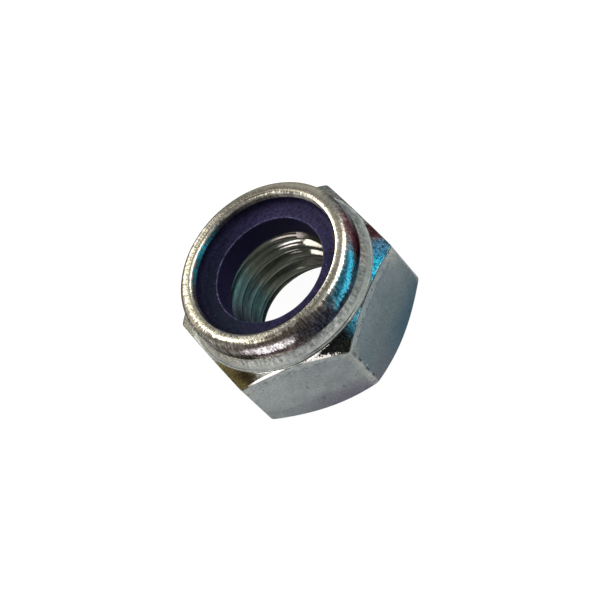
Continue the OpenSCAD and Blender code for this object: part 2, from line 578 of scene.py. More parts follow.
# %% Steel body
def join_columns(c, rows):
    """Faces between one column and the next: the wall, the thread and the two ends."""
    height, last = rows + THREAD_ROWS, THREAD_ROWS - 1
    here, there = c * height, (c + 1) % len(COLUMNS) * height
    climb = STEPS if c == len(COLUMNS) - 1 else 0
    faces = [(here + i, there + i, there + i + 1, here + i + 1) for i in range(rows - 1)]
    for i in range(last):
        p, q = min(i + climb, last), min(i + 1 + climb, last)
        faces.append((here + rows + i, here + rows + i + 1, there + rows + q, there + rows + p))
    faces.append((here, here + rows, there + rows, there))
    faces.append((here + rows - 1, there + rows - 1, there + height - 1, here + height - 1))
    return faces


def steel_body():
    places, measures, faces = [], [], []
    for c, azimuth in enumerate(COLUMNS):
        column = wall_outline(azimuth)
        places += [on_nut(azimuth, r, z) for zone, r, z in column]
        measures += measures_of(azimuth, column)
        places += [on_nut(azimuth, *thread_point(row, azimuth)) for row in range(THREAD_ROWS)]
        measures += [(row // STEPS + TURN_STEPS[row % STEPS][0], 1.0) for row in range(THREAD_ROWS)]
        faces += join_columns(c, len(column))
    along, edge = zip(*measures)
    mesh = turned_mesh("steel_body", places, faces, along_mm=along, edge_mm=edge)
    names = [point[0] for point in column]
    zones = ["hexagon" if name == "bearing" and after == "hexagon" else name
             for name, after in zip(names, names[1:])] + ["bore"] * (THREAD_ROWS + 1)
    mesh.polygons.foreach_set("material_index", [ZONES.index(z) for z in zones] * len(COLUMNS))
    return closed_object(mesh, merge=True)


body = steel_body()
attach(body, "root")
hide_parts("nut_body")

# %% [markdown]
# ## The nylon ring
#
# The ring was a plain washer before the collar was rolled over it. The lip pressed it down at
# its outer edge and squeezed a rim up inside, which ends in a hollow and a flat face around
# the hole. It is turned from one outline too. The hole's edge was cut by a punch, so it
# wanders a little and carries small nicks.

# %% Outline of the ring
GAP, DISH_DEPTH, INSERT_BITE, RING_EDGE = 0.02, 0.76, 0.55, 0.05
RING_R, RING_HOLE_R = POCKET_R - GAP, THREAD_R - INSERT_BITE
RIM_Z, FACE_Z = LIP_EDGE_Z - GAP, LIP_EDGE_Z - DISH_DEPTH
DISH_R = RIM_Z - FACE_Z
DISH_TURNS = (6, 15, 25, 36, 48, 60, 72, 82, 90)
# The punched edge: steps out from the hole and down from the face
PUNCHED_EDGE = [(0.09, 0), (0.045, 0.015), (0.012, 0.045), (0, 0.1)]
# How far inside the face the painted highlight line along the hole's edge is centred
HIGHLIGHT_LINE_AT = 0.02
FACE_WANDER = 0.02
edge_wander = ripple(21, (3, 5, 9, 17, 33, 52), 0.035)
face_wander = ripple(23, (2, 4, 7), FACE_WANDER)


def ring_outline(azimuth):
    """Closed outline of the ring: (radius, height, distance to the hole's upper edge)."""
    hole = RING_HOLE_R + max(0.0, edge_wander(azimuth))
    face = FACE_Z - FACE_WANDER + face_wander(azimuth)
    turns = np.radians(DISH_TURNS)
    dish = [(LIP_HOLE_R - DISH_R + DISH_R * math.cos(t), RIM_Z - (RIM_Z - face) * math.sin(t))
            for t in turns]
    edge = [(hole + out, face - down) for out, down in PUNCHED_EDGE]
    line = [(RING_R, SHOULDER_Z - GAP), (LIP_HOLE_R, RIM_Z - GAP)] + dish
    line += between(dish[-1], edge[0], 6) + edge
    line += between(edge[-1], (RING_HOLE_R, SEAT_Z + RING_EDGE), 10)
    line += [(RING_HOLE_R, SEAT_Z + RING_EDGE), (RING_HOLE_R + RING_EDGE, SEAT_Z),
             (RING_R - RING_EDGE, SEAT_Z), (RING_R, SEAT_Z + RING_EDGE)]
    return [(r, z, math.hypot(r - hole - HIGHLIGHT_LINE_AT, z - face + HIGHLIGHT_LINE_AT)) for r, z in line]


print(len(ring_outline(0)), "points in the ring's outline")

# %% Nylon ring
RING_COLUMNS = 360


def nylon_ring():
    places, gaps, faces = [], [], []
    for c in range(RING_COLUMNS):
        azimuth = 360 * c / RING_COLUMNS
        line = ring_outline(azimuth)
        rows = len(line)
        here, there = c * rows, (c + 1) % RING_COLUMNS * rows
        places += [on_nut(azimuth, r, z) for r, z, gap in line]
        gaps += [gap for r, z, gap in line]
        faces += [(here + i, here + (i + 1) % rows, there + (i + 1) % rows, there + i)
                  for i in range(rows)]
    return closed_object(turned_mesh("nylon_ring", places, faces, edge_mm=gaps), merge=False)


ring = nylon_ring()
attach(ring, "root")
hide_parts("nylon_insert")

# %% [markdown]
# ## Node groups for the finishes
#
# Several finishes share the same effects, so each effect is built once as a node group:
# grain, the place around the nut, a patch of tint, the fine marks that the roller left, pits
# and scratches, the sparkle of the plating, and the wear of an edge.

# %% Group helper
def new_group(name, inputs, outputs):
    """An empty node group. Inputs are (name, default) pairs, outputs are names."""
    group = bpy.data.node_groups.new(name, "ShaderNodeTree")
    for title, default in inputs:
        socket = group.interface.new_socket(title, in_out="INPUT", socket_type="NodeSocketFloat")
        socket.default_value = default
    for title in outputs:
        group.interface.new_socket(title, in_out="OUTPUT", socket_type="NodeSocketFloat")
    start = group.nodes.new("NodeGroupInput")
    end = group.nodes.new("NodeGroupOutput")
    return group, start.outputs, end.inputs


def use(tree, group, **feeds):
    """Places a node group in a material. A feed's name is the socket's, with _ for a space."""
    made = tree.nodes.new("ShaderNodeGroup")
    made.node_tree = group
    for name, value in feeds.items():
        socket = made.inputs[name.replace("_", " ")]
        if isinstance(value, bpy.types.NodeSocket):
            tree.links.new(value, socket)
        else:
            socket.default_value = value
    return made.outputs


def place_mm(tree):
    """The point's place on the nut in millimetres."""
    coordinates = add(tree, "TexCoord").outputs["Object"]
    return add(tree, "VectorMath", {0: coordinates, "Scale": 1 / MM}, operation="SCALE").outputs[0]


def noise(tree, vector, scale, detail, roughness):
    feeds = {"Vector": vector, "Scale": scale, "Detail": detail, "Roughness": roughness}
    return add(tree, "TexNoise", feeds).outputs[0]


print("patterns are measured in steps of", MM, "m")

# %% [markdown]
# ### Grain
#
# No plated or moulded surface is quite even. One noise, placed with other scales, gives the
# broad clouding of a finish, its fine grain and the ragged borders of what lies on it.

# %% Group: grain
surface_grain, ins, outs = new_group(
    "surface_grain", [("Scale", 5), ("Detail", 2), ("Roughness", 0.5)], ["Grain"])
field = noise(surface_grain, place_mm(surface_grain), ins["Scale"], ins["Detail"], ins["Roughness"])
surface_grain.links.new(field, outs["Grain"])


def grained(tree, scale, detail, roughness):
    """Places the grain in a material. Most of its values lie between 0.3 and 0.7."""
    return use(tree, surface_grain, Scale=scale, Detail=detail, Roughness=roughness)["Grain"]


report(surface_grain.name, surface_grain)

# %% [markdown]
# ### Place around the nut
#
# Forged, turned and rolled surfaces all follow the axis, so their marks do too. This group
# gives the angle around the axis in degrees, the distance from it and the height.

# %% Group: place around the nut
ring_place, _, outs = new_group("place_around_nut", [], ["Azimuth", "Radius", "Height"])
parts = add(ring_place, "SeparateXYZ", {0: place_mm(ring_place)}).outputs
turn = calc(ring_place, "ARCTAN2", parts["Y"], parts["X"])
ring_place.links.new(calc(ring_place, "DEGREES", turn), outs["Azimuth"])
flat_square = calc(ring_place, "ADD", times(ring_place, parts["X"], parts["X"]),
                   times(ring_place, parts["Y"], parts["Y"]))
ring_place.links.new(calc(ring_place, "SQRT", flat_square), outs["Radius"])
ring_place.links.new(parts["Z"], outs["Height"])
report(ring_place.name, ring_place)

# %% [markdown]
# ### A patch of tint
#
# Clear zinc plating is thin and glassy. It breaks the light into faint colours where it is
# thicker. The strong blue-green, plum and olive on the polished roll and the chamfers are partly
# that and partly painted reflections of the room, and the same patches also lay painted
# highlights, painted shade and wear. A patch is a soft box around one angle and one place along
# the outline, with a ragged border.

# %% Group: tint patch
tint_patch, ins, outs = new_group(
    "tint_patch",
    [("Azimuth", 0), ("Section", 0), ("Ragged", 0), ("Middle", 0), ("Half Width", 10),
     ("Section Middle", 0), ("Section Half", 1), ("Slant", 0), ("Softness", 0.2)], ["Mask"])
apart = calc(tint_patch, "SUBTRACT", ins["Azimuth"], ins["Middle"])
across = calc(tint_patch, "DIVIDE", calc(tint_patch, "WRAP", apart, 180.0, -180.0), ins["Half Width"])
slanted = calc(tint_patch, "MULTIPLY_ADD", across, ins["Slant"], ins["Section Middle"])
up = calc(tint_patch, "SUBTRACT", ins["Section"], slanted)
up = calc(tint_patch, "DIVIDE", up, ins["Section Half"])
cubes = [calc(tint_patch, "POWER", calc(tint_patch, "ABSOLUTE", way), 3.0) for way in (across, up)]
far = calc(tint_patch, "POWER", calc(tint_patch, "ADD", *cubes), 1 / 3)
inside = add(tint_patch, "MapRange",
             {"Value": calc(tint_patch, "ADD", far, ins["Ragged"]),
              "From Min": calc(tint_patch, "SUBTRACT", 1.0, ins["Softness"]),
              "From Max": calc(tint_patch, "ADD", 1.0, ins["Softness"]),
              "To Min": 1.0, "To Max": 0.0}, interpolation_type="SMOOTHSTEP")
tint_patch.links.new(inside.outputs["Result"], outs["Mask"])
report(tint_patch.name, tint_patch)

# %% [markdown]
# ### Marks of the roller
#
# The roll was formed by a spinning tool that pressed across it, which leaves very fine
# crosswise streaks. They are a noise that is stretched along the outline and short around
# the nut. The noise runs on a circle, so it has no seam.

# %% Group: roller marks
roller_marks, ins, outs = new_group("roller_marks", [("Along", 0), ("Count", 200), ("Length", 1)],
                                    ["Streaks", "Grain"])
parts = add(roller_marks, "SeparateXYZ", {0: place_mm(roller_marks)}).outputs
flat = add(roller_marks, "CombineXYZ", {"X": parts["X"], "Y": parts["Y"]}).outputs[0]
circle = add(roller_marks, "VectorMath", {0: flat}, operation="NORMALIZE").outputs[0]
circle = add(roller_marks, "VectorMath",
             {0: circle, "Scale": calc(roller_marks, "DIVIDE", ins["Count"], 2 * math.pi)},
             operation="SCALE").outputs[0]
split = add(roller_marks, "SeparateXYZ", {0: circle}).outputs
lengthwise = calc(roller_marks, "DIVIDE", ins["Along"], ins["Length"])
spread = add(roller_marks, "CombineXYZ", {"X": split["X"], "Y": split["Y"], "Z": lengthwise})
roller_marks.links.new(noise(roller_marks, spread.outputs[0], 1.0, 3.0, 0.6), outs["Streaks"])
roller_marks.links.new(noise(roller_marks, place_mm(roller_marks), 5.5, 2.0, 0.6), outs["Grain"])
report(roller_marks.name, roller_marks)

# %% [markdown]
# ### Pits and scratches
#
# Nuts are plated in a turning barrel, where they knock against each other. A cell pattern
# gives each small area one pit at most. A noise bends the pattern first, so that the pits
# aren't round, and the same pattern, stretched, gives short scratches.

# %% Group: pits and scratches
knocks, ins, outs = new_group("pits_and_scratches", [("Pit Size", 0.1), ("Spacing", 1.0),
                                                     ("Scratch Size", 0.1)], ["Pits", "Scratches"])


def spots(tree, vector, spacing, size):
    """Small spots of different sizes, one in some of the cells. Most cells have none."""
    scale = calc(tree, "DIVIDE", 1.0, spacing)
    cells = add(tree, "TexVoronoi", {"Vector": vector, "Scale": scale})
    chance = add(tree, "SeparateColor", {0: cells.outputs["Color"]}).outputs
    reach = times(tree, ramp(tree, chance[0], 0.5, 1.05), times(tree, size, scale))
    return add(tree, "MapRange", {"Value": cells.outputs["Distance"], "From Min": reach,
                                  "From Max": times(tree, reach, 0.4),
                                  "To Min": 0.0, "To Max": 1.0}).outputs["Result"]


place = place_mm(knocks)
bend = add(knocks, "TexNoise", {"Vector": place, "Scale": 3.0, "Detail": 3.0}).outputs["Color"]
bend = add(knocks, "VectorMath", {0: bend, "Scale": 0.5}, operation="SCALE").outputs[0]
place = add(knocks, "VectorMath", {0: place, 1: bend}, operation="ADD").outputs[0]
knocks.links.new(spots(knocks, place, ins["Spacing"], ins["Pit Size"]), outs["Pits"])
stretched = add(knocks, "Mapping", {"Vector": place, "Rotation": (0.5, 0.3, 0.2),
                                    "Scale": (1.0, 1.0, 0.3)}).outputs[0]
knocks.links.new(spots(knocks, stretched, ins["Spacing"], ins["Scratch Size"]), outs["Scratches"])
report(knocks.name, knocks)

# %% [markdown]
# ### Sparkle of the plating
#
# Under the shine the plating is a little grainy, so a polished place glitters instead of being
# even. The glitter is painted: a fine noise with its contrast raised gives small bright and dark
# dots in the colour, partly the plating's grain and partly painted glints.

# %% Group: sparkle
sparkle, ins, outs = new_group("plating_sparkle", [("Size", 0.12)], ["Sparkle"])
dots = noise(sparkle, place_mm(sparkle), calc(sparkle, "DIVIDE", 1.0, ins["Size"]), 2.0, 0.7)
sparkle.links.new(ramp(sparkle, dots, 0.36, 0.64, -1.0, 1.0), outs["Sparkle"])
report(sparkle.name, sparkle)

# %% [markdown]
# ### Worn edges
#
# Edges touch everything first, so they are rubbed pale. The mesh knows how far each point is
# from such an edge, and a noise makes the border of the worn strip ragged. On the nylon the same
# strip is a painted highlight along the edge of the hole.

# %% Group: edge wear
edge_wear_and_highlight, ins, outs = new_group("edge_wear_and_highlight", [("Edge", 1), ("Width", 0.5), ("Ragged", 0.5)],
                                 ["Wear"])
rough = noise(edge_wear_and_highlight, place_mm(edge_wear_and_highlight), 2.4, 4.0, 0.65)
rough = times(edge_wear_and_highlight, calc(edge_wear_and_highlight, "SUBTRACT", rough, 0.5), ins["Ragged"])
gap = calc(edge_wear_and_highlight, "DIVIDE", calc(edge_wear_and_highlight, "ADD", ins["Edge"], rough), ins["Width"])
edge_wear_and_highlight.links.new(ramp(edge_wear_and_highlight, gap, 1.15, 0.8), outs["Wear"])
report(edge_wear_and_highlight.name, edge_wear_and_highlight)

# %% [markdown]
# ## Finishes of the steel
#
# Each zone of the body has its own material, because the zones were made by different tools:
# the flats are forged and dull, the chamfers are turned, the collar's band is matt, the roll
# is polished by the roller and the bore is cut. A small helper lays patches of tint over a
# ground colour, in the order they are listed; most of these patches are painted reflections,
# painted highlights and painted shade.

# %% Colour helpers
def attribute(tree, name):
    return add(tree, "Attribute", attribute_name=name).outputs["Fac"]


def shaded(tree, colour, factor):
    """Multiplies a colour by a factor that varies over the surface."""
    grey = add(tree, "CombineColor", {0: factor, 1: factor, 2: factor}).outputs[0]
    mixer = add(tree, "Mix", {0: 1.0, 6: colour, 7: grey}, data_type="RGBA", blend_type="MULTIPLY")
    return mixer.outputs[2]


def varied(tree, colour, pattern, contrast):
    """Makes a colour darker and lighter by contrast, as a pattern goes from -1 to 1."""
    return shaded(tree, colour, calc(tree, "MULTIPLY_ADD", pattern, contrast, 1.0))


def mottled(tree, pattern, dark, light, low=0.35, high=0.65):
    """A ground that goes from a dark to a light colour with a pattern."""
    return blend(tree, ramp(tree, pattern, low, high), tone(dark), tone(light))


def laid_over(tree, colour, mask, strength, code):
    """Lays one more colour over a colour where the mask is."""
    return blend(tree, times(tree, mask, strength), colour, tone(code))


def tinted(tree, ground, place, section, patches, ragged_scale=1.6, ragged_size=0.5):
    """Lays patches over ground. A patch is colour, middle, half width, section middle,
    section half, softness, strength and, where it lies askew, its slant."""
    rough = grained(tree, ragged_scale, 3.0, 0.6)
    rough = times(tree, calc(tree, "SUBTRACT", rough, 0.5), ragged_size)
    colour = ground
    for code, middle, half, level, reach, soft, strength, *slant in patches:
        mask = use(tree, tint_patch, Azimuth=place["Azimuth"], Section=section, Ragged=rough,
                   Middle=middle, Half_Width=half, Section_Middle=level, Section_Half=reach,
                   Slant=sum(slant), Softness=soft)["Mask"]
        colour = laid_over(tree, colour, mask, strength, code)
    return colour


def away_from(tree, place, middle):
    """Degrees between a point and one angle around the axis."""
    apart = calc(tree, "WRAP", calc(tree, "SUBTRACT", place["Azimuth"], middle), 180.0, -180.0)
    return calc(tree, "ABSOLUTE", apart)


print("colour helpers: shaded, varied, mottled, laid_over, tinted, away_from")

# %% [markdown]
# ### From colour to metal
#
# All six finishes of the body end in the same shader: a plated metal whose small heights stand
# out through a bump. Each starts with a new material on the piece and its place around the nut.

# %% Surface helpers
def new_finish(piece, name):
    """Adds a material to a piece. Gives its node tree and the place around the nut."""
    material, tree = new_material(name)
    piece.data.materials.append(material)
    return tree, use(tree, ring_place)


def bumped(tree, strength, *layers):
    """A normal from layers of height, each a pattern and its height in millimetres."""
    height = 0.0
    for pattern, size in layers:
        height = calc(tree, "MULTIPLY_ADD", pattern, size, height)
    return add(tree, "Bump", {"Height": height, "Strength": strength, "Distance": MM}).outputs[0]


def metal(tree, colour, roughness, normal, metallic=1.0, rim=0.35):
    """A plated metal. Rim is how much it still mirrors where it is seen at a flat angle."""
    shader = add(tree, "BsdfPrincipled", {"Base Color": colour, "Metallic": metallic,
                                          "Roughness": roughness, "Normal": normal,
                                          "Specular Tint": (rim, rim, rim, 1)})
    finish_material(tree, shader)


print("surface helpers: new_finish, bumped, metal, for the zones", ", ".join(ZONES))

# %% [markdown]
# ### Bearing face
#
# The underside and the lower cone are turned, so they carry fine circles around the axis.
# The ground colour is the pale grey of clear zinc.

# %% Finish: bearing face
CIRCLE_STEP = 0.16
tree, place = new_finish(body, "bearing_face")
grain = grained(tree, 6.0, 3.0, 0.7)
wobble = calc(tree, "MULTIPLY_ADD", grain, 0.05, place["Radius"])
circles = calc(tree, "SINE", times(tree, wobble, 2 * math.pi / CIRCLE_STEP))
ground = mottled(tree, circles, "7d8384", "989c9a", -1, 1)
ground = shaded(tree, ground, ramp(tree, grain, 0.25, 0.75, 0.88, 1.12))
metal(tree, ground, 0.38, bumped(tree, 0.7, (grain, 0.012), (circles, 0.006)), 0.85)
report("finish of the bearing face", tree)

# %% [markdown]
# ### Flats of the hexagon
#
# The six flats are dull blue-grey, with a paler rubbed strip along their edges and dark pits,
# ticks and short scratches. Each flat is given its own tone, and several are lighter high up and
# darker at the foot: this is painted light and painted shade. The corner that the photograph
# shows best is rubbed to a rough pale line with dark nicks beside it, so it has marks of its own.
# They are laid with a much more ragged border than the broad tints of painted light below them.

# %% Tints of the flats
# Painted light and shade: each flat's tone, its lighter upper part and its darker foot. The narrow
# pale spots by the corners are wear
FLAT_PAINTED_LIGHT_AND_WEAR = [
    ("647277", -60, 29.5, 3.6, 5.2, 0.04, 1.0),
    ("405a67", -48, 28, -0.1, 2.1, 0.8, 0.9),
    ("78858a", -66, 24, 6.8, 1.6, 0.8, 0.6),
    ("7f898b", -35, 8, 6.5, 2.2, 0.9, 0.8),
    ("a2a8a8", -141, 20, 5.6, 2.4, 0.9, 0.8),
    ("8f9698", -108, 14, 6.9, 1.2, 0.8, 0.7),
    ("6b6874", -103, 24, 0.2, 1.9, 0.8, 0.9, 0.3),
    ("878e92", 0, 29.5, 3.6, 5.2, 0.04, 0.8),
    ("7c8585", 60, 29.5, 3.6, 5.2, 0.04, 0.8),
    ("828b8f", 180, 29.5, 3.6, 5.2, 0.04, 0.8),
    ("6c6e7c", 75, 30, 0.2, 2.0, 0.8, 0.7, 0.3),
    ("606d75", 150, 30, 0.2, 1.8, 0.8, 0.7, 0.3),
    ("969a92", -90, 4.0, 6.8, 0.7, 0.9, 0.6),
    ("9ea093", -149, 3.5, 6.9, 0.8, 0.9, 0.7),
    ("9aa09c", -33, 4.0, 6.9, 0.9, 0.8, 0.8),
]
CORNER_MARKS = [
    ("a2a6a0", -91.0, 1.5, 4.4, 3.8, 0.6, 0.7),
    ("2f3a3f", -89.0, 0.8, 6.5, 0.4, 0.5, 0.9),
    ("2f3a3f", -88.8, 0.7, 5.3, 0.25, 0.5, 0.9),
    ("2f3a3f", -89.2, 0.7, 3.6, 0.35, 0.5, 0.8),
    ("2f3a3f", -88.9, 0.6, 2.4, 0.2, 0.5, 0.8),
]
print("flats:", len(FLAT_PAINTED_LIGHT_AND_WEAR), "tints, and", len(CORNER_MARKS), "marks on the front corner")

# %% Finish: flats
tree, place = new_finish(body, "hexagon_flats")
edge = attribute(tree, "edge_mm")
cloud = grained(tree, 0.7, 5.0, 0.6)
grain = grained(tree, 6.0, 4.0, 0.75)
ground = mottled(tree, cloud, "868c8e", "909697")
ground = tinted(tree, ground, place, place["Height"], FLAT_PAINTED_LIGHT_AND_WEAR)
ground = tinted(tree, ground, place, place["Height"], CORNER_MARKS, 4.5, 2.2)
edge_strip = use(tree, edge_wear_and_highlight, Edge=edge, Width=0.75, Ragged=0.45)["Wear"]
ground = laid_over(tree, ground, edge_strip, 0.45, "979c9b")
ground = varied(tree, ground, edge_strip, ramp(tree, cloud, 0.35, 0.6, 0.05, 0.2))
ground = shaded(tree, ground, ramp(tree, grain, 0.2, 0.8, 0.66, 1.34))
ground = shaded(tree, ground, ramp(tree, cloud, 0.25, 0.75, 0.93, 1.07))
# Ticks lie in a narrow strip beside the edges only
strip = times(tree, ramp(tree, edge, 1.05, 0.8), ramp(tree, edge, 0.25, 0.6))
ticks = times(tree, ramp(tree, grained(tree, 2.4, 4.0, 0.75), 0.54, 0.6), strip)
marks = use(tree, knocks, Pit_Size=0.17, Spacing=0.7, Scratch_Size=0.12)
dark = calc(tree, "MAXIMUM", marks["Pits"], times(tree, marks["Scratches"], 0.9))
dark = calc(tree, "MAXIMUM", dark, times(tree, ticks, 0.6))
ground = laid_over(tree, ground, dark, 0.75, "30373b")
dents = bumped(tree, 0.6, (grain, 0.025), (dark, -0.03))
metal(tree, ground, ramp(tree, grain, 0.2, 0.8, 0.42, 0.55), dents, 0.75)
report("finish of the flats", tree)

# %% [markdown]
# ### Upper corner chamfers
#
# Six small cones between the flats and the collar. They are smooth and lie at a slope that
# mirrors the room above, and what they mirror is painted into their colour: painted reflections
# in olive, black, blue-green and plum, in turn around the nut, and a white streak and pale
# flecks of painted highlight beside the black.

# %% Tints of the chamfers
# Painted reflections of the room: olive, black, blue-green and plum around the front, plain greys
# behind
CHAMFER_PAINTED_REFLECTIONS = [
    ("4a4329", -156, 14, 10.0, 1.6, 0.25, 1.0),
    ("1d170f", -147, 7.5, 9.75, 0.55, 0.7, 0.9, 0.3),
    ("0f1011", -91, 13, 10.0, 1.6, 0.3, 1.0),
    ("1a1c1a", -93, 8, 10.3, 0.5, 0.8, 0.8),
    ("f4f0ee", -106, 4.0, 9.5, 0.07, 0.4, 1.0),
    ("1a4a59", -73.5, 8.0, 9.9, 0.9, 0.5, 0.95),
    ("104e5e", -43, 12, 10.0, 1.6, 0.3, 1.0),
    ("193648", -30, 6.5, 10.1, 1.4, 0.5, 0.95),
    ("2c1b1f", -18.5, 6.5, 10.0, 1.6, 0.35, 1.0),
    ("1f2628", -60, 9, 9.4, 0.22, 0.4, 1.0),
    ("6f726f", 30, 15, 10.0, 1.6, 0.4, 1.0),
    ("3a5560", 38, 7, 9.8, 1.0, 0.6, 0.6),
    ("1c1d20", 90, 14, 10.0, 1.6, 0.3, 1.0),
    ("55544d", 150, 15, 10.0, 1.6, 0.4, 1.0),
]
# Painted highlights along the edge by the flats, and one dark painted reflection near a narrow corner
CHAMFER_PAINTED_EDGE_LIGHT = [
    ("fbf5f6", -135, 9.0, 0.12, 0.13, 0.35, 1.0),
    ("cfcac8", -108, 4.5, 0.07, 0.09, 0.6, 0.8),
    ("cfccc8", 76, 9.0, 0.06, 0.08, 0.5, 0.8),
    ("1f2628", -58, 8.5, 0.0, 0.14, 0.4, 0.9),
]
# Pale flecks of painted highlight beside the black chamfer
CHAMFER_PAINTED_FLECKS = [("e8e2dc", -101, 5.5, 0.12, 0.2, 0.2, 0.95)]
print("chamfers:", len(CHAMFER_PAINTED_REFLECTIONS), "tints and", len(CHAMFER_PAINTED_EDGE_LIGHT), "glints")

# %% Finish: chamfers
tree, place = new_finish(body, "corner_chamfers")
edge = attribute(tree, "edge_mm")
grain = grained(tree, 6.5, 3.0, 0.7)
ground = tinted(tree, tone("6f716c"), place, place["Radius"], CHAMFER_PAINTED_REFLECTIONS, 3.5, 0.9)
contrast = ramp(tree, away_from(tree, place, -50), 60, 90, 0.6, 0.3)
ground = varied(tree, ground, use(tree, sparkle, Size=0.2)["Sparkle"], contrast)
edge_strip = use(tree, edge_wear_and_highlight, Edge=edge, Width=0.12, Ragged=0.6)["Wear"]
ground = laid_over(tree, ground, edge_strip, 0.4, "6d726f")
ground = tinted(tree, ground, place, edge, CHAMFER_PAINTED_EDGE_LIGHT, 3.0, 0.5)
ground = tinted(tree, ground, place, edge, CHAMFER_PAINTED_FLECKS, 5.0, 4.0)
metal(tree, ground, ramp(tree, grain, 0.2, 0.8, 0.24, 0.36), bumped(tree, 0.6, (grain, 0.03)))
report("finish of the chamfers", tree)

# %% [markdown]
# ### Band of the collar
#
# The band between the hexagon and the roll was hardly touched by the roller. It stays matt
# and pale. Its lower part is smooth, and its upper part has crosswise marks, small spots and a
# few stains. Its tone is made lighter and darker around the nut by painted reflections of the
# room and painted shade, and thin dark lines of painted shade lie at its foot, in the step of
# the ledge.

# %% Tints of the band
# Painted reflections and painted shade: lighter and darker tones around the band, and darker lines
# along its borders
BAND_PAINTED_LIGHT = [
    ("9d998e", -170, 30, 9.2, 0.5, 0.6, 0.85),
    ("6c6d67", -168, 30, 8.3, 0.2, 0.5, 0.9),
    ("8a8e89", -60, 10, 9.0, 0.8, 0.7, 0.95),
    ("687472", -42, 28, 9.0, 0.85, 0.7, 0.75),
    ("999b98", -104, 22, 9.1, 0.3, 0.8, 0.6),
    ("c2c4bf", -134, 17, 8.95, 0.42, 0.7, 0.6),
    ("b8bbb7", -100, 64, 8.6, 0.18, 0.7, 0.4),
    ("625f5e", -102, 11, 9.56, 0.16, 0.9, 0.9),
    ("7d7b7a", -122, 10, 9.58, 0.14, 0.9, 0.8),
    ("85807a", -36, 12, 9.2, 0.3, 0.8, 0.8, 0.1),
    ("55605f", 4, 15, 9.2, 0.6, 0.8, 0.85),
    # Thin dark lines of painted shade in the step at the foot
    ("1a1a18", -95, 22, 8.25, 0.1, 0.3, 1.0),
    ("2b2b29", -90, 20, 8.46, 0.055, 0.3, 0.9),
    ("77736c", 95, 22, 9.2, 0.5, 0.7, 0.6, 0.2),
    ("7f8a8c", 48, 16, 9.0, 0.4, 0.7, 0.5, 0.2),
]
print("band:", len(BAND_PAINTED_LIGHT), "tints")

# %% Finish: band
tree, place = new_finish(body, "collar_band")
edge = attribute(tree, "edge_mm")
marks = use(tree, roller_marks, Along=place["Height"], Count=190, Length=0.7)
ground = mottled(tree, grained(tree, 0.9, 3.0, 0.6), "828785", "a8aca9")
ground = tinted(tree, ground, place, place["Height"], BAND_PAINTED_LIGHT)
foot = use(tree, edge_wear_and_highlight, Edge=edge, Width=0.07, Ragged=0.05)["Wear"]
ground = laid_over(tree, ground, foot, 0.15, "a6a8a4")
contrast = ramp(tree, place["Height"], 8.65, 8.95, 0.07, 0.3)
ground = varied(tree, ground, ramp(tree, marks["Streaks"], 0.34, 0.66, -1.0, 1.0), contrast)
blotches = ramp(tree, grained(tree, 3.5, 3.0, 0.7), 0.35, 0.65, -1.0, 1.0)
ground = varied(tree, ground, blotches, contrast)
pits = use(tree, knocks, Pit_Size=0.13, Spacing=0.42, Scratch_Size=0.05)["Pits"]
ground = laid_over(tree, ground, pits, 0.6, "585a58")
ridges = bumped(tree, 0.6, (marks["Grain"], 0.012), (marks["Streaks"], 0.012))
metal(tree, ground, ramp(tree, marks["Grain"], 0.2, 0.8, 0.45, 0.6), ridges, 0.7)
report("finish of the band", tree)

# %% [markdown]
# ### The roll
#
# The roll is the brightest part: the roller burnished it, so it mirrors the lamps in long lines,
# and painted highlights in cream and pink-white lie along these lines in its colour. Its ground
# is a warm olive-grey. The blue-green, plum, navy and dark bands on it are painted reflections of
# the room, strongest on its steep outer side. The section is measured from the border of the
# band: 0 to 1.5 mm is the side, the outer bend ends at 2.9 mm, and the inner bend runs from
# 3.1 mm to 3.8 mm. The roller's streaks shift the borders of the painted reflections a little
# and make the side grainier than the top. The streaks are strongest at the front left, and the
# far side is calmer.

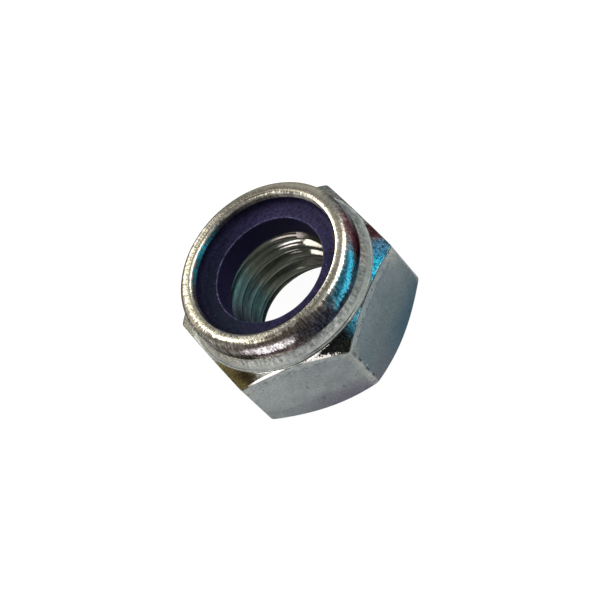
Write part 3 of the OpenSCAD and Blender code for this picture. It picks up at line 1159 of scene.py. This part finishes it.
# %% Tints of the roll
# Painted light: the pale, cream and pink-white rows are painted highlights, the blue-green, plum,
# olive and dark rows painted reflections of the room
ROLL_PAINTED_REFLECTIONS = [
    ("94928a", -170, 28, 0.5, 1.2, 0.5, 0.95),
    ("474239", 158, 52, 2.42, 0.24, 0.6, 0.9, 0.05),
    ("57544a", -86, 38, 2.9, 0.2, 0.7, 0.8),
    ("8a8673", -22, 28, 2.9, 0.2, 0.7, 0.8),
    ("524d45", 50, 50, 2.95, 0.26, 0.7, 0.8),
    ("463f36", -107, 39, 2.1, 0.4, 0.6, 0.9),
    ("3c372f", -108, 17, 2.44, 0.16, 0.6, 0.85),
    ("b9b4a2", -157, 32, 2.73, 0.13, 0.5, 0.9, -0.06),
    ("4f4b41", -160, 34, 2.98, 0.11, 0.6, 0.85),
    ("aaa698", -52, 33, 2.45, 0.13, 0.5, 0.9),
    ("47443e", -110, 40, 3.42, 0.24, 0.6, 0.9, 0.02),
    ("c2bda8", -30, 34, 3.34, 0.17, 0.6, 0.9, 0.03),
    ("d8d3c4", 24, 24, 3.52, 0.16, 0.5, 0.9, 0.12),
    ("9c9888", 30, 34, 2.3, 0.5, 0.7, 0.9),
    ("2b4148", 8, 13, 0.75, 0.8, 0.6, 0.9, -0.6),
    ("565349", 52, 34, 3.24, 0.2, 0.6, 0.85),
    ("a39e86", 142, 46, 3.07, 0.16, 0.5, 0.85),
    ("353233", -97, 17, 0.95, 1.15, 0.4, 1.0),
    ("4a3b3f", -124, 17, 0.62, 0.36, 0.6, 0.95, -0.4),
    ("99948a", -146, 18, 0.05, 0.4, 0.6, 0.85),
    ("50423f", -138, 26, 1.85, 0.26, 0.7, 0.65, 0.2),
    ("2c2c34", -86, 11, 0.9, 1.15, 0.5, 0.9),
    ("f4e8ec", -125, 15.5, 1.35, 0.46, 0.4, 1.0),
    ("2d424d", -53, 28, 0.3, 0.5, 0.5, 1.0, 0.1),
    ("272b34", -80, 17, 0.25, 0.5, 0.5, 1.0),
    ("2a5c6e", -59, 18.5, 1.5, 0.74, 0.35, 1.0),
    ("43b4d4", -56, 17, 1.26, 0.36, 0.6, 0.95, 0.42),
    ("5c4349", -25, 17, 1.05, 1.25, 0.35, 1.0),
    ("40474e", -3, 10, 1.0, 1.5, 0.6, 0.9),
    ("2c6f80", 62, 22, 1.2, 0.8, 0.4, 0.9, 0.2),
    ("1d1c22", 36, 22, 0.9, 0.9, 0.5, 0.8),
    ("e8e2d6", 98, 12, 1.3, 0.5, 0.5, 0.9),
    ("3c2a30", 122, 18, 1.0, 1.0, 0.4, 0.9),
    ("2a3a46", 160, 14, 0.8, 0.8, 0.5, 0.8, 0.2),
    ("413f44", 110, 78, 4.0, 0.42, 0.4, 1.0),
    ("2f8498", 122, 23, 3.95, 0.36, 0.4, 0.95),
    ("3fb4d4", 115, 6, 3.95, 0.3, 0.6, 0.8),
    ("e0dccf", 22, 26, 4.0, 0.4, 0.5, 0.95),
    ("8d867c", 57, 14, 3.9, 0.3, 0.7, 0.8),
    ("53515a", -120, 70, 3.8, 0.45, 0.4, 1.0),
]
print("roll:", len(ROLL_PAINTED_REFLECTIONS), "tints")

# %% Finish: roll
tree, place = new_finish(body, "burnished_roll")
along = attribute(tree, "along_mm")
marks = use(tree, roller_marks, Along=along, Count=250, Length=1.1)
coarse = use(tree, roller_marks, Along=along, Count=120, Length=0.8)
ground = mottled(tree, coarse["Streaks"], "77736a", "97948a", 0.3, 0.7)
# The streaks push the borders of the painted reflections and highlights to and fro, most at the lip
push = ramp(tree, along, 3.2, 3.6, 0.9, 1.3)
shifted = calc(tree, "MULTIPLY_ADD", calc(tree, "SUBTRACT", marks["Streaks"], 0.5), push, along)
ground = tinted(tree, ground, place, shifted, ROLL_PAINTED_REFLECTIONS, 1.6, 0.55)
# They stand out on the side, less on top, and again at the lip
calm = ramp(tree, away_from(tree, place, -125), 40, 85, 1.0, 0.5)
contrast = times(tree, calm, ramp(tree, along, 2.5, 1.8, 0.28, 0.55))
contrast = calc(tree, "MAXIMUM", contrast, ramp(tree, along, 3.5, 3.75, 0.0, 0.4))
ground = varied(tree, ground, ramp(tree, marks["Streaks"], 0.34, 0.66, -1.0, 1.0), contrast)
calm = ramp(tree, away_from(tree, place, -100), 90, 120, 1.0, 0.45)
contrast = times(tree, calm, ramp(tree, along, 2.4, 1.9, 0.16, 0.45))
ground = varied(tree, ground, use(tree, sparkle, Size=0.2)["Sparkle"], contrast)
pits = use(tree, knocks, Pit_Size=0.12, Spacing=0.36, Scratch_Size=0.05)["Pits"]
ground = laid_over(tree, ground, pits, 0.6, "2c2822")
ridges = bumped(tree, 0.6, (marks["Grain"], 0.03), (marks["Streaks"], 0.016))
dull_lip = ramp(tree, along, 3.45, 3.75, 1.0, 0.35)
metal(tree, ground, ramp(tree, marks["Grain"], 0.2, 0.8, 0.1, 0.2), ridges, dull_lip)
report("finish of the roll", tree)

# %% [markdown]
# ### Bore and thread
#
# Inside it is darker: the turns of the thread mirror each other. The blue-green on one side and
# the olive on the other are painted reflections. The tap left fine lines that run along the
# turns. A bright line on the crests is a painted highlight, and a few short painted glints show
# where the turns would catch the light. Metal alone would go black between the turns, so the
# finish is only seven tenths metallic.

# %% Tints of the bore
# Painted reflections: blue-green, olive and dark tones around the bore, darker near its top at the
# back
BORE_PAINTED_REFLECTIONS = [
    ("3b3f37", 82, 30, 4.5, 6.0, 0.5, 1.0),
    ("1b2d2e", 130, 24, 4.5, 6.0, 0.6, 1.0),
    ("16292b", 140, 30, 7.4, 0.9, 0.8, 0.8),
    ("1b252d", 166, 22, 4.5, 6.0, 0.5, 1.0),
    ("2b2b26", 38, 18, 4.5, 6.0, 0.6, 1.0),
    ("2c3a3c", -60, 55, 4.5, 6.0, 0.5, 0.9),
]
# Painted glints where the turns would catch the lamps
BORE_PAINTED_GLINTS = [
    ("fbf4e2", 29, 11.5, 5.86, 0.15, 0.25, 1.0, 0.07),
    ("fbf4e2", 34, 7.0, 4.1, 0.11, 0.25, 1.0, 0.05),
    ("d9b9b4", 53, 16, 7.62, 0.1, 0.4, 0.9, 0.05),
    ("e9d9d2", 50, 16, 7.15, 0.26, 0.5, 0.85, 0.06),
    ("f3e9e4", 55, 11, 6.08, 0.045, 0.4, 1.0, 0.05),
    ("e3d9d4", 56, 9, 5.92, 0.03, 0.5, 0.9, 0.05),
    ("f0e6e0", 57, 8, 5.48, 0.05, 0.4, 0.9, 0.05),
    ("e6ddd6", 58, 5, 4.34, 0.025, 0.6, 0.6, 0.05),
    ("b9b2a6", 61, 5, 2.9, 0.025, 0.6, 0.6, 0.05),
    ("b9b2a6", 63, 4, 2.35, 0.025, 0.6, 0.6, 0.05),
]
print("bore:", len(BORE_PAINTED_REFLECTIONS), "tints and", len(BORE_PAINTED_GLINTS), "glints")

# %% Finish: bore
def near(tree, value, middle, outer, inner):
    """One where a value is within inner of the middle, and zero past outer."""
    apart = calc(tree, "ABSOLUTE", calc(tree, "SUBTRACT", value, middle))
    return ramp(tree, apart, outer, inner)


def waves(tree, value, count):
    return calc(tree, "SINE", times(tree, value, 2 * math.pi * count))


tree, place = new_finish(body, "thread")
climbed = attribute(tree, "along_mm")
turn_part = calc(tree, "FRACT", climbed)
marks = use(tree, roller_marks, Along=place["Height"], Count=60, Length=0.07)
ground = tinted(tree, tone("2d2f2a"), place, place["Height"], BORE_PAINTED_REFLECTIONS, 1.0, 0.3)
# Painted light: the crests are painted bright, the flanks that face up grow brighter towards the
# root, and all of it is darker higher up
light = times(tree, ramp(tree, turn_part, 0.59, 0.64, 2.4, 1.1),
              ramp(tree, turn_part, 0.72, 0.92, 1.0, 1.7))
light = times(tree, light, ramp(tree, place["Height"], 2.5, 7.0, 1.0, 0.68))
ground = shaded(tree, ground, light)
# Lines of the tap, which fade at angle zero, where the turns are counted anew
groove = add(tree, "CombineXYZ", {"X": times(tree, place["Azimuth"], 0.03),
                                  "Z": times(tree, climbed, 9.0)}).outputs[0]
lines = ramp(tree, noise(tree, groove, 1.0, 2.0, 0.6), 0.38, 0.62, -1.0, 1.0)
seam = ramp(tree, away_from(tree, place, 0), 3, 12, 0.0, 0.4)
lines = calc(tree, "MULTIPLY_ADD", waves(tree, turn_part, 5), 0.45, times(tree, lines, seam))
ground = varied(tree, ground, lines, 0.55)
# A thin painted highlight along the edge of each crest
ground = varied(tree, ground, near(tree, turn_part, 0.63, 0.03, 0.01), 0.5)
# Painted glints are whole low down and on one side, and broken into thin lines elsewhere
painted_glints = tinted(tree, ground, place, place["Height"], BORE_PAINTED_GLINTS, 4.0, 0.9)
whole = calc(tree, "MAXIMUM", calc(tree, "LESS_THAN", place["Azimuth"], 42.0),
             calc(tree, "LESS_THAN", place["Height"], 6.6))
thin = ramp(tree, waves(tree, turn_part, 7), -0.2, 0.5)
ground = blend(tree, calc(tree, "MAXIMUM", whole, thin), ground, painted_glints)
# Flanks that face down are painted pale, so that what they throw back lights the ones below them
painted_pale_flanks = times(tree, near(tree, turn_part, 0.16, 0.22, 0.18),
              ramp(tree, place["Height"], 6.75, 6.6))
ground = laid_over(tree, ground, painted_pale_flanks, 1.0, "a9aba2")
ground = shaded(tree, ground, ramp(tree, marks["Streaks"], 0.3, 0.7, 0.8, 1.22))
ridges = bumped(tree, 0.6, (marks["Grain"], 0.02), (marks["Streaks"], 0.02))
metal(tree, ground, ramp(tree, marks["Grain"], 0.2, 0.8, 0.28, 0.42), ridges, 0.7)
report("finish of the bore", tree)

# %% [markdown]
# ## Finish of the nylon
#
# The ring is dyed nylon, deep violet, smooth but not polished. Painted shade makes it darkest
# inside the hole, under the lip and on one side of its face, and a painted sheen makes the other
# side paler. It carries a little dust, and the punched edge of the hole gets a thin, broken line
# of painted highlight.

# %% Finish: nylon
# Painted shade on one side of the face, under the lip and inside the hole, and a paler painted sheen
# on the other side of the face
NYLON_PAINTED_SHADE_AND_SHEEN = [
    ("0f141e", 165, 60, 10.5, 0.4, 0.7, 0.9),
    ("2b2740", 22, 48, 10.5, 0.25, 0.6, 0.8),
    ("100f20", 125, 85, 10.95, 0.4, 0.35, 0.9),
    ("12102c", 0, 400, 8.9, 1.35, 0.12, 1.0),
]
tree, place = new_finish(ring, "violet_nylon")
edge = attribute(tree, "edge_mm")
cloud = grained(tree, 1.1, 4.0, 0.6)
grain = grained(tree, 3.6, 3.0, 0.7)
ground = mottled(tree, cloud, "17162b", "221f38")
ground = tinted(tree, ground, place, place["Height"], NYLON_PAINTED_SHADE_AND_SHEEN)
edge_strip = use(tree, edge_wear_and_highlight, Edge=edge, Width=0.08, Ragged=0.2)["Wear"]
# The painted highlight on the hole's edge is broken, and stronger away from the front
front = ramp(tree, away_from(tree, place, -100), 40, 80, 0.15, 0.6)
broken = ramp(tree, grained(tree, 2.6, 3.0, 0.7), 0.42, 0.6, 0.35, 1.0)
edge_strip = times(tree, edge_strip, times(tree, front, broken))
ground = laid_over(tree, ground, edge_strip, 1.0, "615e80")
dust = use(tree, knocks, Pit_Size=0.06, Spacing=0.36, Scratch_Size=0.05)
ground = laid_over(tree, ground, dust["Pits"], 0.4, "6a6488")
ground = laid_over(tree, ground, dust["Scratches"], 0.8, "06060c")
ground = shaded(tree, ground, ramp(tree, grain, 0.3, 0.7, 0.5, 1.55))
shader = add(tree, "BsdfPrincipled", {"Base Color": ground,
                                      "Normal": bumped(tree, 0.6, (grain, 0.01), (cloud, 0.05)),
                                      "Specular IOR Level": 0.045,
                                      "Specular Tint": (0.55, 0.5, 1.0, 1),
                                      "Roughness": ramp(tree, grain, 0.2, 0.8, 0.42, 0.58)})
finish_material(tree, shader)
report("finish of the nylon", tree)
